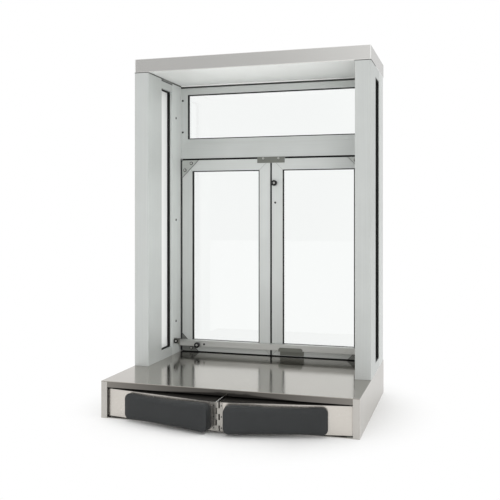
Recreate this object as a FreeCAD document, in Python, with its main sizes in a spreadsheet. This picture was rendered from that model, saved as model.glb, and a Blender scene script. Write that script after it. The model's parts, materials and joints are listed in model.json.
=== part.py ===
import FreeCAD, Part
import os
import re
import Sketcher

# Clerk's side of a pass-through service window: a glazed bay on a steel counter box, with a
# pair of bifold leaves at the back and two hip pads on hinged push plates at the front.
# X runs to the clerk's right, Y away from the clerk and Z up. The origin is the middle of the
# underside of the counter box.

# Driving sizes in millimetres (angles in degrees): alias, value, meaning
SIZES = [
    ("base_width", 812.8, "counter box across, 32 in"),
    ("base_sheet", 2, "steel sheet of the counter box"),
    ("counter_lip", 19, "front edge of the counter turned down"),
    ("counter_bend", 1.5, "outside bend of the counter's front edge"),
    ("corner_flange", 20, "side panel turned in at the front corner"),
    ("counter_projection", 244, "counter in front of the posts"),
    ("rear_setback", 19, "rear jambs to the back of the box"),
    ("post_face", 50.8, "post across its face, 2 in"),
    ("post_depth", 114.3, "post front to back, 4 1/2 in"),
    ("side_light", 98.9, "between a front post and a rear jamb"),
    ("tube_wall", 3.2, "wall of the post tubes"),
    ("cap_height", 46, "cap skirt"),
    ("cap_sheet", 2, "steel sheet of the cap"),
    ("cap_bend", 1.5, "outside bends of the cap"),
    ("leaf_thickness", 25.4, "window frame members front to back, 1 in"),
    ("leaf_opening", 735, "counter top to the transom bar"),
    ("transom_bar_height", 55.6, "transom bar"),
    ("transom_bead", 18, "glazing bead on the transom bar"),
    ("transom_light", 169, "clear height of the transom light"),
    ("transom_stile", 27.6, "side beads of the transom light"),
    ("head_rail_height", 34.5, "rail over the transom light"),
    ("leaf_stile", 41, "leaf frame member across its face"),
    ("jamb_gap", 5, "leaf to jamb"),
    ("head_gap", 6.8, "leaf to transom bar"),
    ("foot_gap", 3.3, "leaf to counter"),
    ("meeting_gap", 6.6, "leaf to leaf"),
    ("seal_depth", 20, "rubber seals front to back"),
    ("seal_joint", 0.5, "meeting seal over the foot seal"),
    ("side_sill", 32, "bottom rail of a side light"),
    ("side_head", 36, "top rail of a side light"),
    ("side_glass_inset", 19, "side pane from the inner face of its posts"),
    ("side_gasket_lip", 10, "gasket in front of a side pane"),
    ("glass_thickness", 6, "every pane"),
    ("gasket_face", 3, "black gasket seen around a pane"),
    ("gasket_back", 1, "rubber between a side pane's edge and its posts"),
    ("glass_reveal", 12, "back wall's panes behind the face of their frames"),
    ("pane_bite", 8, "pane's edge in the groove of its frame"),
    ("groove_clear", 1, "groove past the pane's edge"),
    ("gusset_leg", 67, "corner gusset along each leaf member"),
    ("gusset_plate", 3, "gusset thickness"),
    ("gusset_screw", 2.6, "radius of the gusset's screw holes"),
    ("gusset_screw_near", 11.5, "screw hole from the gusset's nearer edge"),
    ("gusset_screw_far", 37.5, "screw hole from the gusset's other edge"),
    ("stop_length", 104, "stop angle under the transom bar"),
    ("stop_drop", 22, "stop angle in front of the leaves"),
    ("stop_plate", 2.8, "stop angle thickness"),
    ("stop_reach", 20, "stop angle's leg under the bar"),
    ("bar_height", 22, "lock bar"),
    ("bar_depth", 20, "lock bar front to back"),
    ("bar_wall", 2, "wall of the lock bar"),
    ("bar_above_counter", 26, "lock bar over the counter"),
    ("bar_to_leaf", 5, "lock bar to the leaves"),
    ("arm_plate", 3, "thickness of the bar's end arms"),
    ("arm_boss_forward", 50, "end arm's boss in front of the bar's middle"),
    ("arm_boss_rise", 14, "end arm's boss above the bar's middle"),
    ("arm_boss_radius", 10, "round end of the arm"),
    ("arm_boss_proud", 5, "boss standing off the arm"),
    ("arm_bore", 4, "radius of the hole in the boss"),
    ("clip_length", 89, "clip that carries the bar on the right leaf"),
    ("clip_from_middle", 35, "clip from the middle of the window"),
    ("clip_plate", 2.5, "clip thickness"),
    ("clip_lip", 14, "clip in front of the bar"),
    ("clip_back", 18, "clip on the leaf, below the bar"),
    ("clip_corner", 5, "cut corners of the clip's lip"),
    ("clip_to_bar", 0.3, "clip to the bar"),
    ("knob_radius", 10.5, "round knobs"),
    ("knob_length", 14, "knob standing off its face"),
    ("knob_neck", 6, "radius of the knob's foot"),
    ("knob_bevel", 1.8, "bevelled rim of a knob"),
    ("knob_recess", 4.5, "radius of the knob's centre recess"),
    ("leaf_knob_height", 638, "upper knob over the counter"),
    ("leaf_knob_inset", 11, "upper knob from the right leaf's edge"),
    ("bar_knob_from_jamb", 77, "lower knob from the left jamb"),
    ("plate_angle", 9.9, "push plates turned out at rest"),
    ("plate_clear", 5, "push plates to the floor pan, the counter's lip and the side panel"),
    ("plate_height", 85, "push plates"),
    ("plate_sheet", 2, "steel sheet of the push plates"),
    ("plate_flange_depth", 66, "push plate's flanges at the centre"),
    ("plate_seam", 5, "between the two plates' flanges"),
    ("plate_tip", 7.2, "push plate past its outer pivot"),
    ("plate_face", 9, "face of a push plate in front of its outer pivot"),
    ("pivot_setback", 17, "outer pivots behind the front of the box"),
    ("pivot_pin", 4, "radius of the outer pins"),
    ("pin_clearance", 0.06, "running clearance round a pin"),
    ("slide_spare", 0.5, "slot past the right pin's last place"),
    ("guide_plate", 3, "thickness of the slotted guides"),
    ("guide_margin", 7, "guide around its slot"),
    ("knuckle_radius", 5.5, "centre hinge barrel"),
    ("knuckle_gap", 0.4, "between knuckles"),
    ("hinge_leaf", 1.5, "centre hinge leaf thickness"),
    ("hinge_leaf_width", 15, "centre hinge leaf from the barrel's middle"),
    ("hinge_pin", 2.6, "radius of the centre hinge pin"),
    ("hinge_clear", 2, "plates' edges around the barrel"),
    ("pad_length", 303, "bump pad along its plate"),
    ("pad_height", 81, "bump pad"),
    ("pad_rise", 0.5, "bump pad above its plate's lower edge"),
    ("pad_thin", 16, "bump pad's thickness at its outer end"),
    ("pad_thick", 36, "bump pad's thickness beside the hinge"),
    ("pad_corner", 14, "bump pad's corner radius"),
    ("pad_edge", 5, "bump pad's rounded front edge"),
    ("pad_from_hinge", 18, "bump pad from the hinge barrel's middle"),
    ("pad_seat", 0.3, "bump pad to its plate"),
]

# Places worked out from the sizes: each name stands for an expression
PLACES = {
    "side": "base_width / 2",
    "base_depth": "counter_projection + 2 * post_depth + side_light + rear_setback",
    "plate_floor": "base_sheet + plate_clear",
    "plate_top": "plate_floor + plate_height",
    "lip_low": "plate_top + plate_clear",
    "base_height": "lip_low + counter_lip",
    "front": "0 - base_depth / 2",
    "back": "base_depth / 2",
    "under_counter": "base_height - base_sheet",
    "post_front": "front + counter_projection",
    "post_back": "post_front + post_depth",
    "inside": "side - post_face",
    "jamb_back": "back - rear_setback",
    "jamb_front": "jamb_back - post_depth",
    "bar_underside": "base_height + leaf_opening",
    "transom_sill": "bar_underside + transom_bar_height",
    "transom_glass_low": "transom_sill + transom_bead",
    "transom_glass_high": "transom_glass_low + transom_light",
    "cap_bottom": "transom_glass_high + head_rail_height",
    "cap_top": "cap_bottom + cap_height",
    "leaf_front": "jamb_back - leaf_thickness",
    "leaf_middle": "jamb_back - leaf_thickness / 2",
    "glass_front": "leaf_front + glass_reveal",
    "glass_back": "glass_front + glass_thickness",
    "leaf_bottom": "base_height + foot_gap",
    "leaf_top": "bar_underside - head_gap",
    "leaf_outer": "inside - jamb_gap",
    "leaf_inner": "meeting_gap / 2",
    "side_pane_in": "inside + side_glass_inset",
    "side_pane_out": "side_pane_in + glass_thickness",
    "side_low": "base_height + side_sill",
    "side_high": "cap_bottom - side_head",
    "lock_bar_back": "leaf_front - bar_to_leaf",
    "lock_bar_front": "lock_bar_back - bar_depth",
    "lock_bar_low": "base_height + bar_above_counter",
    "lock_bar_high": "lock_bar_low + bar_height",
    "lock_bar_end": "inside - arm_plate",
    "hinge_t": "knuckle_radius - hinge_leaf - plate_face",
    "straight_end": "side - base_sheet - plate_clear - plate_tip",
    "pivot_x": "(straight_end + 2 * hinge_t * tan(plate_angle)) / (2 / cos(plate_angle) - 1)",
    "pivot_y": "front + pivot_setback",
    "hinge_s": "(pivot_x - hinge_t * sin(plate_angle)) / cos(plate_angle)",
    "hinge_y": "pivot_y - hinge_s * sin(plate_angle) + hinge_t * cos(plate_angle)",
    "seam_x": "pivot_x - plate_seam / 2",
    "slide_travel": "2 * hinge_s - 2 * pivot_x + slide_spare",
    "knuckle_pitch": "plate_height / 5",
}

VALUES = {name: value for name, value, meaning in SIZES}
WORD = re.compile(r"[a-z][a-z_]*")

doc = FreeCAD.newDocument("BifoldWindow")
sheet = doc.addObject("Spreadsheet::Sheet", "Sizes")
for row, (name, value, meaning) in enumerate(SIZES, start=1):
    sheet.set(f"A{row}", meaning)
    sheet.set(f"B{row}", str(value))
    sheet.setAlias(f"B{row}", name)
doc.recompute()

subparts = []


def bound(text):
    """Turn size and place names into an expression on the sheet."""
    def expand(match):
        word = match.group(0)
        if word in PLACES:
            return "(" + bound(PLACES[word]) + ")"
        return "Sizes." + word if word in VALUES else word
    return WORD.sub(expand, text)


def number(text):
    """Value of an expression, for the first position of a sketch's points."""
    return float(sheet.evalExpression(bound(text)))


def subpart(label, shape_object):
    """Name an object and list it as a piece of the window."""
    shape_object.Label = label
    subparts.append(shape_object)
    return shape_object


def block(x, y, z, name="Block"):
    """Box between pairs of low and high places along X, Y and Z."""
    box = doc.addObject("Part::Box", name)
    for size, axis, (low, high) in (("Length", "x", x), ("Width", "y", y), ("Height", "z", z)):
        box.setExpression(size, bound(f"({high}) - ({low})"))
        box.setExpression(f"Placement.Base.{axis}", bound(low))
    return box


def cut(base, tool, name="Cut"):
    result = doc.addObject("Part::Cut", name)
    result.Base = base
    result.Tool = tool
    return result


def fuse(pieces, name="Fusion"):
    result = doc.addObject("Part::MultiFuse", name)
    result.Shapes = pieces
    return result


def tube(x, y, z, wall, along):
    """Rectangular tube, open at both ends along one axis."""
    outer = block(x, y, z)
    spans = {"x": x, "y": y, "z": z}
    inner = {axis: span if axis == along else (f"{span[0]} + {wall}", f"{span[1]} - {wall}")
             for axis, span in spans.items()}
    return cut(outer, block(inner["x"], inner["y"], inner["z"]))


def grown(span, by):
    return f"{span[0]} - {by}", f"{span[1]} + {by}"


def back_pane(name, across, tall):
    """Pane of the back wall, its edge in the groove of its frame, and the gasket before it.

    across and tall are the frame's clear opening.
    """
    pane = block(grown(across, "pane_bite"), ("glass_front", "glass_back"), grown(tall, "pane_bite"))
    subpart(f"{name}_glass", pane)
    lip = ("leaf_front", "glass_front")
    inner = block(grown(across, "(0 - gasket_face)"), lip, grown(tall, "(0 - gasket_face)"))
    subpart(f"{name}_gasket", cut(block(across, lip, tall), inner))


def pane_groove(across, tall):
    """Clear opening of a back pane grown to the bottom of the groove round it."""
    return grown(across, "(pane_bite + groove_clear)"), grown(tall, "(pane_bite + groove_clear)")


def side_pane(name, sign):
    """Pane between a post and a jamb, in a gasket that wraps its edge and stands before it."""
    along = ("post_back", "jamb_front")
    tall = ("side_low", "side_high")

    def slab(inner, outer, inset):
        x = (inner, outer) if sign > 0 else (f"0 - ({outer})", f"0 - ({inner})")
        return block(x, grown(along, f"(0 - {inset})"), grown(tall, f"(0 - {inset})"))

    lip = "side_pane_in - side_gasket_lip"
    subpart(f"{name}_side_glass", slab("side_pane_in", "side_pane_out", "gasket_back"))
    ring = cut(slab(lip, "side_pane_out", "0"), slab(lip, "side_pane_out", "gasket_face"))
    subpart(f"{name}_side_gasket", cut(ring, slab("side_pane_in", "side_pane_out", "gasket_back")))


def new_body(label):
    return subpart(label, doc.addObject("PartDesign::Body", label))


def sketch(body, plane, offset, loops=(), circles=()):
    """Sketch on one of the body's origin planes: closed loops of corners, and circles.

    Every corner, centre and radius is a constraint bound to the sheet.
    """
    drawing = body.newObject("Sketcher::SketchObject", "Profile")
    support = next(part for part in body.Origin.OriginFeatures if part.Role == plane)
    drawing.AttachmentSupport = [(support, "")]
    drawing.MapMode = "FlatFace"
    drawing.setExpression("AttachmentOffset.Base.z", bound(offset))

    def fix(kind, geometry, point, text):
        if kind == "Radius":
            index = drawing.addConstraint(Sketcher.Constraint("Radius", geometry, number(text)))
        else:
            values = (-1, 1, geometry, point, number(text))
            index = drawing.addConstraint(Sketcher.Constraint(kind, *values))
        drawing.setExpression(f"Constraints[{index}]", bound(text))

    for corners in loops:
        points = [FreeCAD.Vector(number(x), number(y), 0) for x, y in corners]
        lines = [drawing.addGeometry(Part.LineSegment(start, end), False)
                 for start, end in zip(points, points[1:] + points[:1])]
        for line, following in zip(lines, lines[1:] + lines[:1]):
            drawing.addConstraint(Sketcher.Constraint("Coincident", line, 2, following, 1))
        for line, (x, y) in zip(lines, corners):
            fix("DistanceX", line, 1, x)
            fix("DistanceY", line, 1, y)
    for x, y, radius in circles:
        centre = FreeCAD.Vector(number(x), number(y), 0)
        shape = Part.Circle(centre, FreeCAD.Vector(0, 0, 1), number(radius))
        circle = drawing.addGeometry(shape, False)
        fix("DistanceX", circle, 3, x)
        fix("DistanceY", circle, 3, y)
        fix("Radius", circle, 0, radius)
    return drawing


def extrude(body, plane, low, high, loops=(), circles=(), remove=False):
    """Pad or pocket a profile between two places along the plane's axis."""
    offset = f"0 - ({high})" if plane == "XZ_Plane" else low
    drawing = sketch(body, plane, offset, loops, circles)
    before = body.Shape.Volume if remove else 0
    kind = "PartDesign::Pocket" if remove else "PartDesign::Pad"
    feature = body.newObject(kind, kind.split("::")[1])
    feature.Profile = drawing
    feature.setExpression("Length", bound(f"({high}) - ({low})"))
    feature.Reversed = remove
    doc.recompute()
    if remove and body.Shape.Volume >= before:
        raise ValueError(f"a pocket of {body.Label} cut nothing")
    return feature


def rectangle(x, y):
    return [(x[0], y[0]), (x[1], y[0]), (x[1], y[1]), (x[0], y[1])]


def round_edges(body, size, chosen, kind="PartDesign::Fillet"):
    """Fillet or chamfer the body's edges that the test picks."""
    doc.recompute()
    tip = body.Tip
    names = [f"Edge{index}" for index, edge in enumerate(tip.Shape.Edges, start=1) if chosen(edge)]
    if not names:
        raise ValueError(f"no edge of {body.Label} to round")
    feature = body.newObject(kind, kind.split("::")[1])
    feature.Base = (tip, names)
    feature.setExpression("Radius" if kind.endswith("Fillet") else "Size", bound(size))
    doc.recompute()
    return feature


def lies(edge, **places):
    """True where the edge's box sits at each given place, such as y=..., along its whole length."""
    box = edge.BoundBox
    for axis, text in places.items():
        value = number(text)
        low = getattr(box, f"{axis.upper()}Min")
        high = getattr(box, f"{axis.upper()}Max")
        if abs(low - value) > 1e-4 or abs(high - value) > 1e-4:
            return False
    return True


def runs_along(edge, axis):
    lengths = {name: getattr(edge.BoundBox, f"{name.upper()}Length") for name in "xyz"}
    return lengths[axis] > 1e-4 and all(lengths[name] < 1e-4 for name in "xyz" if name != axis)


# The counter box: a folded counter sheet, two side panels turned in at the front, a back panel
# and a floor pan. The front between the corner flanges is open for the push plates.
def counter_box():
    counter = new_body("counter_top")
    extrude(counter, "YZ_Plane", "0 - side", "side",
            [rectangle(("front", "back"), ("under_counter", "base_height"))])
    extrude(counter, "YZ_Plane", "corner_flange - side", "side - corner_flange",
            [rectangle(("front", "front + base_sheet"), ("lip_low", "under_counter"))])
    round_edges(counter, "counter_bend", lambda edge: lies(edge, y="front", z="base_height"))

    for name, sign in (("left", "0 - 1"), ("right", "1")):
        panel = new_body(f"base_{name}_side")
        outer = f"({sign}) * side"
        inner = f"({sign}) * (side - base_sheet)"
        flange = f"({sign}) * (side - corner_flange)"
        corners = [(outer, "front"), (flange, "front"), (flange, "front + base_sheet"),
                   (inner, "front + base_sheet"), (inner, "back"), (outer, "back")]
        extrude(panel, "XY_Plane", "0", "under_counter", [corners])

    across = ("base_sheet - side", "side - base_sheet")
    subpart("base_rear_panel",
            block(across, ("back - base_sheet", "back"), ("base_sheet", "under_counter")))
    subpart("base_floor_pan", block(across, ("front + base_sheet", "back"), ("0", "base_sheet")))


# Four tube posts, the rails between them at each side, and the side panes.
def posts_and_sides():
    height = ("base_height", "cap_bottom")
    between = ("post_back", "jamb_front")
    sills = []
    heads = []
    for name, sign, x in (("left", -1, ("0 - side", "0 - inside")), ("right", 1, ("inside", "side"))):
        subpart(f"{name}_post", tube(x, ("post_front", "post_back"), height, "tube_wall", "z"))
        subpart(f"{name}_rear_jamb", tube(x, ("jamb_front", "jamb_back"), height, "tube_wall", "z"))
        sills.append(tube(x, between, ("base_height", "side_low"), "tube_wall", "y"))
        heads.append(tube(x, between, ("side_high", "cap_bottom"), "tube_wall", "y"))
        side_pane(name, sign)
    subpart("side_sill_rails", fuse(sills))
    subpart("side_head_rails", fuse(heads))


# The back wall: transom bar, head rail and the beads that frame the transom pane.
def transom():
    depth = ("leaf_front", "jamb_back")
    across = ("0 - inside", "inside")
    clear = ("transom_stile - inside", "inside - transom_stile")
    light = ("transom_glass_low", "transom_glass_high")
    upright = ("transom_sill", "transom_glass_high")
    wide, tall = pane_groove(clear, light)

    def grooved(solid):
        return cut(solid, block(wide, ("glass_front", "glass_back"), tall))

    subpart("transom_bar", tube(across, depth, ("bar_underside", "transom_sill"), "tube_wall", "x"))
    subpart("head_rail", grooved(block(across, depth, ("transom_glass_high", "cap_bottom"))))
    subpart("transom_bottom_bead", grooved(block(clear, depth, ("transom_sill", "transom_glass_low"))))
    side_beads = [block(x, depth, upright) for x in ((across[0], clear[0]), (clear[1], across[1]))]
    subpart("transom_side_beads", grooved(fuse(side_beads)))
    back_pane("transom", clear, light)


# Folded cap over the whole bay, and the bright soffit sheet inside it.
def cap():
    body = new_body("top_cap")
    outline = rectangle(("0 - side", "side"), ("post_front", "back"))
    hollow = rectangle(("cap_sheet - side", "side - cap_sheet"),
                       ("post_front + cap_sheet", "back - cap_sheet"))
    extrude(body, "XY_Plane", "cap_bottom", "cap_top", [outline])
    extrude(body, "XY_Plane", "cap_bottom", "cap_top - cap_sheet", [hollow], remove=True)
    round_edges(body, "cap_bend", lambda edge: lies(edge, z="cap_top") or
                (runs_along(edge, "z") and abs(abs(edge.BoundBox.Center.x) - number("side")) < 1e-3))
    subpart("soffit_panel", block(("cap_sheet - side", "side - cap_sheet"),
                                  ("post_front + cap_sheet", "back - cap_sheet"),
                                  ("cap_bottom", "cap_bottom + cap_sheet")))


# A pair of glazed leaves with their panes, rubber seals and triangular corner gussets.
def leaves():
    depth = ("leaf_front", "jamb_back")
    tall = ("leaf_bottom", "leaf_top")
    clear_tall = ("leaf_bottom + leaf_stile", "leaf_top - leaf_stile")
    spans = (("left", ("0 - leaf_outer", "0 - leaf_inner")), ("right", ("leaf_inner", "leaf_outer")))
    for name, across in spans:
        clear = (f"{across[0]} + leaf_stile", f"{across[1]} - leaf_stile")
        frame = new_body(f"{name}_leaf_frame")
        extrude(frame, "XZ_Plane", depth[0], depth[1],
                [rectangle(across, tall), rectangle(clear, clear_tall)])
        groove = rectangle(*pane_groove(clear, clear_tall))
        extrude(frame, "XZ_Plane", "glass_front", "glass_back", [groove], remove=True)
        back_pane(f"{name}_leaf", clear, clear_tall)

    gussets = []
    for sign in ("0 - 1", "1"):
        for corner, up in (("leaf_top", "0 - 1"), ("leaf_bottom", "1")):
            gussets.append(gusset(sign, corner, up))
    subpart("corner_gussets", fuse(gussets))

    seal = ("leaf_middle - seal_depth / 2", "leaf_middle + seal_depth / 2")
    over = ("leaf_top", "bar_underside")
    under = ("base_height", "leaf_bottom")
    strips = [block(("0 - inside", "0 - leaf_outer"), seal, tall),
              block(("leaf_outer", "inside"), seal, tall),
              block(("0 - leaf_inner", "leaf_inner"), seal, ("leaf_bottom + seal_joint", "leaf_top")),
              block(("0 - leaf_outer", "0 - stop_length / 2"), seal, over),
              block(("stop_length / 2", "leaf_outer"), seal, over),
              block(("0 - leaf_outer", "leaf_outer"), seal, under)]
    subpart("leaf_seals", fuse(strips))


def gusset(sign, corner, up):
    """Triangular corner plate on a leaf; sign is its side and up the way from its corner."""
    plate = doc.addObject("PartDesign::Body", "Gusset")
    edge = f"({sign}) * leaf_outer"
    inward = f"({sign}) * (leaf_outer - gusset_leg)"
    tip = f"{corner} + ({up}) * gusset_leg"
    near_x = f"({sign}) * (leaf_outer - gusset_screw_near)"
    far_x = f"({sign}) * (leaf_outer - gusset_screw_far)"
    near_z = f"{corner} + ({up}) * gusset_screw_near"
    far_z = f"{corner} + ({up}) * gusset_screw_far"
    extrude(plate, "XZ_Plane", "leaf_front - gusset_plate", "leaf_front",
            [[(edge, corner), (inward, corner), (edge, tip)]],
            [(near_x, far_z, "gusset_screw"), (far_x, near_z, "gusset_screw")])
    return plate


# Fittings on the clerk's face of the leaves: stop angle, lock bar with its end arms, clip, knobs.
def fittings():
    stop = new_body("leaf_stop")
    low = "bar_underside - stop_drop"
    shelf = "bar_underside - stop_plate"
    outer = "leaf_front - stop_plate"
    reach = "leaf_front - stop_plate + stop_reach"
    corners = [(outer, low), ("leaf_front", low), ("leaf_front", shelf), (reach, shelf),
               (reach, "bar_underside"), (outer, "bar_underside")]
    extrude(stop, "YZ_Plane", "0 - stop_length / 2", "stop_length / 2", [corners])

    bar = tube(("0 - lock_bar_end", "lock_bar_end"), ("lock_bar_front", "lock_bar_back"),
               ("lock_bar_low", "lock_bar_high"), "bar_wall", "x")
    subpart("lock_bar", bar)
    left_arm = bar_arm(("0 - inside", "0 - lock_bar_end"),
                       ("0 - lock_bar_end", "arm_boss_proud - lock_bar_end"))
    right_arm = bar_arm(("lock_bar_end", "inside"),
                        ("lock_bar_end - arm_boss_proud", "lock_bar_end"))
    subpart("lock_bar_arms", fuse([left_arm, right_arm]))

    clip = new_body("lock_bar_clip")
    front = "lock_bar_front - clip_to_bar"
    shelf = "lock_bar_low - clip_to_bar"
    corners = [("leaf_front", shelf), (front, shelf), (front, f"{shelf} - clip_plate + clip_lip"),
               (f"{front} - clip_plate", f"{shelf} - clip_plate + clip_lip"),
               (f"{front} - clip_plate", f"{shelf} - clip_plate"),
               ("leaf_front - clip_plate", f"{shelf} - clip_plate"),
               ("leaf_front - clip_plate", f"{shelf} - clip_plate - clip_back"),
               ("leaf_front", f"{shelf} - clip_plate - clip_back")]
    extrude(clip, "YZ_Plane", "clip_from_middle", "clip_from_middle + clip_length", [corners])
    top = f"{shelf} - clip_plate + clip_lip"
    round_edges(clip, "clip_corner", lambda edge: runs_along(edge, "y") and lies(edge, z=top),
                "PartDesign::Chamfer")

    knob("leaf_knob", "leaf_inner + leaf_knob_inset", "base_height + leaf_knob_height", "leaf_front")
    knob("bar_knob", "bar_knob_from_jamb - inside", "lock_bar_low + knob_neck", "lock_bar_front")


def bar_arm(strap_x, boss_x):
    """Strap on a jamb's inner face: it carries the bar's end and rises to a round boss."""
    arm = doc.addObject("PartDesign::Body", "Arm")
    y = "(lock_bar_front + lock_bar_back) / 2 - arm_boss_forward"
    z = "(lock_bar_low + lock_bar_high) / 2 + arm_boss_rise"
    strap = [(y, f"{z} - arm_boss_radius"), ("lock_bar_back", "lock_bar_low"),
             ("lock_bar_back", "lock_bar_high"), (y, f"{z} + arm_boss_radius")]
    extrude(arm, "YZ_Plane", *strap_x, [strap])
    for x in (strap_x, boss_x):
        extrude(arm, "YZ_Plane", *x, circles=[(y, z, "arm_boss_radius")])
    for x in (strap_x, boss_x):
        extrude(arm, "YZ_Plane", *x, circles=[(y, z, "arm_bore")], remove=True)
    return arm


def knob(label, x, z, face):
    """Round knob on a foot, with a recess in the middle of its end."""
    body = new_body(label)
    foot = f"{face} - knob_length / 4"
    tip = f"{face} - knob_length"
    extrude(body, "XZ_Plane", foot, face, circles=[(x, z, "knob_neck")])
    extrude(body, "XZ_Plane", tip, foot, circles=[(x, z, "knob_radius")])
    round_edges(body, "knob_bevel", lambda edge: lies(edge, y=tip), "PartDesign::Chamfer")
    extrude(body, "XZ_Plane", tip, f"{tip} + knob_length / 4", circles=[(x, z, "knob_recess")], remove=True)


# Two push plates, folded from sheet and hinged to each other at the centre. The left one turns
# on a fixed pin behind the left corner flange; the right one's pin slides in slotted guides, so
# the pair straightens when it is leaned on.
def push_plates():
    for name, mirror, knuckles in (("left", "1", (0, 2, 4)), ("right", "(0 - 1)", (1, 3))):
        plate = new_body(f"{name}_push_plate")
        place_on_pivot(plate, name)

        def at(s, t):
            return f"{mirror} * ({s})", t

        face = "0 - plate_face"
        inner_face = "plate_sheet - plate_face"
        seam_front = "(seam_x + plate_face * sin(plate_angle)) / cos(plate_angle)"
        seam_back = "(seam_x - plate_flange_depth * sin(plate_angle)) / cos(plate_angle)"
        outline = [at("0 - plate_tip", face), at(seam_front, face),
                   at(seam_back, "plate_flange_depth"), at("0 - plate_tip", "plate_tip")]
        extrude(plate, "XY_Plane", "plate_floor", "plate_top", [outline])
        beyond = "hinge_s + plate_flange_depth"
        short_of = "0 - plate_tip * 2"
        past = "plate_flange_depth * 2"
        inside_bend = [at(short_of, inner_face), at(beyond, inner_face), at(beyond, past),
                       at(short_of, past)]
        extrude(plate, "XY_Plane", "plate_floor + plate_sheet", "plate_top - plate_sheet",
                [inside_bend], remove=True)
        hinge = at("hinge_s", "hinge_t")
        pivot = at("0", "0")
        around = "knuckle_radius + hinge_clear"
        tall = ("plate_floor", "plate_top")
        extrude(plate, "XY_Plane", *tall, circles=[(*hinge, around)], remove=True)
        extrude(plate, "XY_Plane", *tall, circles=[(*pivot, "pivot_pin + pin_clearance")], remove=True)

        leaf = new_body(f"{name}_hinge_leaf")
        place_on_pivot(leaf, name)
        leaf_face = f"{face} - hinge_leaf"
        leaf_far = at("hinge_s - hinge_leaf_width", face)
        leaf_near = at(f"hinge_s - ({around})", leaf_face)
        axis = at("hinge_s", face)
        extrude(leaf, "XY_Plane", *tall,
                [rectangle((leaf_far[0], leaf_near[0]), (leaf_near[1], leaf_far[1]))])
        for index in knuckles:
            low = f"plate_floor + {index} * knuckle_pitch + knuckle_gap / 2"
            high = f"plate_floor + {index + 1} * knuckle_pitch - knuckle_gap / 2"
            extrude(leaf, "XY_Plane", low, high, circles=[(*hinge, "knuckle_radius")])
            extrude(leaf, "XY_Plane", low, high,
                    [rectangle((leaf_near[0], axis[0]), (leaf_near[1], axis[1]))])
        extrude(leaf, "XY_Plane", *tall, circles=[(*hinge, "hinge_pin + pin_clearance")], remove=True)

        pad = new_body(f"{name}_bump_pad")
        place_on_pivot(pad, name)
        pad_back = "0 - plate_face - pad_seat"
        inner = "hinge_s - pad_from_hinge"
        outer = f"{inner} - pad_length"
        wedge = [at(outer, pad_back), at(inner, pad_back), at(inner, f"{pad_back} - pad_thick"),
                 at(outer, f"{pad_back} - pad_thin")]
        pad_low = "plate_floor + pad_rise"
        extrude(pad, "XY_Plane", pad_low, f"{pad_low} + pad_height", [wedge])
        round_edges(pad, "pad_corner", lambda edge: runs_along(edge, "y"))
        halfway = number(f"{pad_back} - pad_thin / 2")
        round_edges(pad, "pad_edge", lambda edge: all(vertex.Point.y < halfway
                                                      for vertex in edge.Vertexes))

    subpart("hinge_pin", cylinder("0", "hinge_y", "hinge_pin", "plate_floor", "plate_top"))
    subpart("left_pivot_pin", cylinder("0 - pivot_x", "pivot_y", "pivot_pin", "base_sheet", "under_counter"))
    subpart("right_slide_pin", cylinder("pivot_x", "pivot_y", "pivot_pin",
                                        "base_sheet + knuckle_gap", "under_counter - knuckle_gap"))
    guides = []
    for low, high in (("base_sheet", "base_sheet + guide_plate"),
                      ("under_counter - guide_plate", "under_counter")):
        reach = "pivot_pin + guide_margin"
        plate = block((f"pivot_x - ({reach})", "side - base_sheet"),
                      (f"pivot_y - ({reach})", f"pivot_y + {reach}"), (low, high))
        fit = "pivot_pin + pin_clearance"
        straight = block(("pivot_x", "pivot_x + slide_travel"),
                         (f"pivot_y - ({fit})", f"pivot_y + {fit}"), (low, high))
        ends = [cylinder("pivot_x", "pivot_y", fit, low, high),
                cylinder("pivot_x + slide_travel", "pivot_y", fit, low, high)]
        guides.append(cut(plate, fuse([straight, *ends])))
    subpart("right_slide_guides", fuse(guides))


def cylinder(x, y, radius, low, high):
    """Upright cylinder between two heights."""
    round_bar = doc.addObject("Part::Cylinder", "Cylinder")
    round_bar.setExpression("Radius", bound(radius))
    round_bar.setExpression("Height", bound(f"({high}) - ({low})"))
    for axis, text in (("x", x), ("y", y), ("z", low)):
        round_bar.setExpression(f"Placement.Base.{axis}", bound(text))
    return round_bar


def place_on_pivot(body, name):
    """Stand a piece's own origin on its plate's outer pivot, turned out by the plate's angle."""
    sign = "0 - " if name == "left" else ""
    body.setExpression("Placement.Base.x", bound(f"{sign}pivot_x"))
    body.setExpression("Placement.Base.y", bound("pivot_y"))
    body.setExpression("Placement.Rotation.Angle", bound(f"{sign}plate_angle"))


counter_box()
posts_and_sides()
transom()
cap()
leaves()
fittings()
push_plates()

doc.recompute()
for item in doc.Objects:
    if "Invalid" in item.State or "Error" in item.State:
        raise ValueError(f"{item.Label} failed to build")
os.makedirs("parts", exist_ok=True)
for item in subparts:
    if item.Shape.isNull() or not item.Shape.isValid():
        raise ValueError(f"{item.Label} has no valid shape")
    print(item.Label, len(item.Shape.Solids), round(item.Shape.Volume))
for item in subparts:
    item.Shape.exportStep(f"parts/{item.Label}.step")
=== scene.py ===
import json
from math import cos, pi, radians, sin

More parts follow.
